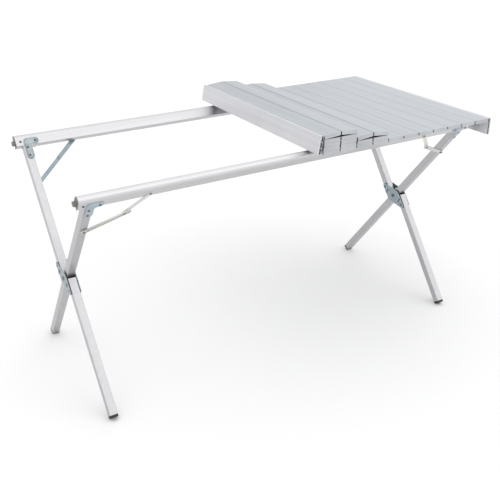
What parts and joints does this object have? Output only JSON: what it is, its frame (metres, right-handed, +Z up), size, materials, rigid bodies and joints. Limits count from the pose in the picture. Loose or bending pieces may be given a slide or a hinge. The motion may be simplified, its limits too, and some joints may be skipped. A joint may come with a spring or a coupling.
{
  "type": "folding camp table",
  "caption": "Folding camp table with a slatted accordion top half unfolded on its rails, carried by crossed square-tube legs with stays.",
  "frame": {"origin": "on the floor, under the middle of the whole table's box", "axes": "+X along the table towards the laid-out half of the top, +Y across it from the near rail to the far rail, +Z up"},
  "size_m": [1.3692, 0.71, 0.7621],
  "materials": {
    "slats": "satin anodised, fine lengthwise lines",
    "end_boards": "satin anodised, fine lengthwise lines",
    "slat_plugs": "moulded, light grey",
    "cords": "braided elastic",
    "frame_tubes": "satin",
    "rail_caps": "moulded, dark brown grey",
    "feet": "moulded, black",
    "liners": "moulded, black",
    "fittings": "pressed, zinc plated",
    "rivets": "zinc plated"
  },
  "bodies": {
    "near_frame": {"near_rail": "frame_tubes", "near_rail_caps": "rail_caps", "through_leg_left": "frame_tubes", "through_leg_right": "frame_tubes", "through_leg_feet": "feet", "near_brackets": "fittings", "near_stay_leg_links": "fittings", "near_stay_rail_links": "fittings", "near_frame_rivets": "rivets", "crossing_pivots": "rivets"},
    "far_frame": {"far_rail": "frame_tubes", "far_rail_caps": "rail_caps", "upper_half_leg_left": "frame_tubes", "upper_half_leg_right": "frame_tubes", "lower_half_leg_left": "frame_tubes", "lower_half_leg_right": "frame_tubes", "split_leg_feet": "feet", "far_brackets": "fittings", "far_stay_leg_links": "fittings", "far_stay_rail_links": "fittings", "far_frame_rivets": "rivets", "crossing_plates_left": "fittings", "crossing_plates_right": "fittings", "crossing_liners": "liners"},
    "top_base": {"slat_01": "slats", "slat_02": "slats", "slat_03": "slats", "slat_04": "slats", "slat_05": "slats", "slat_06": "slats", "slat_07": "slats", "slat_08": "slats", "slat_09": "slats", "slat_10": "slats", "slat_11": "slats", "base_plugs": "slat_plugs", "base_cords": "cords"},
    "second_leaf": {"slat_12": "slats", "slat_13": "slats", "slat_14": "slats", "slat_15": "slats", "second_leaf_plugs": "slat_plugs", "second_leaf_cords": "cords"},
    "slat_sixteen": {"slat_16": "slats", "slat_16_plugs": "slat_plugs"},
    "slat_seventeen": {"slat_17": "slats", "slat_17_plugs": "slat_plugs"},
    "third_leaf": {"slat_18": "slats", "slat_19": "slats", "third_leaf_plugs": "slat_plugs"},
    "fourth_leaf": {"slat_20": "slats", "slat_21": "slats", "fourth_leaf_plugs": "slat_plugs"},
    "slat_twenty_two": {"slat_22": "slats", "slat_22_plugs": "slat_plugs"},
    "slat_twenty_three": {"slat_23": "slats", "slat_23_plugs": "slat_plugs"},
    "left_end": {"left_end_board": "end_boards"},
    "right_end": {"right_end_board": "end_boards"}
  },
  "joints": [
    {"name": "frame_scissor", "type": "hinge", "parent": "near_frame", "child": "far_frame", "pos_m": [-0.01162, 0, 0.339], "axis": [1, 0, 0], "range_deg": [0, 75.1]},
    {"name": "top_lift", "type": "slide", "parent": "near_frame", "child": "top_base", "axis": [0, 0, 1], "range_m": [0, 0.44]},
    {"name": "top_unfold", "type": "hinge", "parent": "top_base", "child": "second_leaf", "pos_m": [0.01812, 0, 0.71115], "axis": [0, -1, 0], "range_deg": [0, 180]},
    {"name": "slat_16_fold", "type": "hinge", "parent": "second_leaf", "child": "slat_sixteen", "pos_m": [0.25612, 0, 0.72265], "axis": [0, -1, 0], "range_deg": [-174, 0]},
    {"name": "slat_17_fold", "type": "hinge", "parent": "slat_sixteen", "child": "slat_seventeen", "pos_m": [0.19755, 0, 0.73459], "axis": [0, -1, 0], "range_deg": [-11.97, 0]},
    {"name": "third_leaf_fold", "type": "hinge", "parent": "slat_seventeen", "child": "third_leaf", "pos_m": [0.13837, 0, 0.7284], "axis": [0, -1, 0], "range_deg": [0, 5.97]},
    {"name": "fourth_leaf_fold", "type": "hinge", "parent": "third_leaf", "child": "fourth_leaf", "pos_m": [0.01937, 0, 0.73415], "axis": [0, -1, 0], "range_deg": [0, 180]},
    {"name": "slat_22_fold", "type": "hinge", "parent": "fourth_leaf", "child": "slat_twenty_two", "pos_m": [0.13837, 0, 0.74565], "axis": [0, -1, 0], "range_deg": [-175, 0]},
    {"name": "slat_23_fold", "type": "hinge", "parent": "slat_twenty_two", "child": "slat_twenty_three", "pos_m": [0.0796, 0, 0.75656], "axis": [0, -1, 0], "range_deg": [-9.98, 0]},
    {"name": "left_board_fold", "type": "hinge", "parent": "slat_twenty_three", "child": "left_end", "pos_m": [0.01984, 0, 0.75698], "axis": [0, -1, 0], "range_deg": [0, 16.98]},
    {"name": "right_end_board_swing", "type": "hinge", "parent": "top_base", "child": "right_end", "pos_m": [0.67263, 0, 0.711], "axis": [0, -1, 0], "range_deg": [0, 90]}
  ],
  "couplings": [
    {"joint": "top_lift", "follows": "frame_scissor", "m_per_rad": 0.33},
    {"joint": "slat_16_fold", "follows": "top_unfold", "ratio": -0.96667},
    {"joint": "slat_17_fold", "follows": "top_unfold", "ratio": -0.066497},
    {"joint": "third_leaf_fold", "follows": "top_unfold", "ratio": 0.033164},
    {"joint": "fourth_leaf_fold", "follows": "top_unfold", "ratio": 1},
    {"joint": "slat_22_fold", "follows": "top_unfold", "ratio": -0.97222},
    {"joint": "slat_23_fold", "follows": "top_unfold", "ratio": -0.055438},
    {"joint": "left_board_fold", "follows": "top_unfold", "ratio": 0.094327}
  ]
}
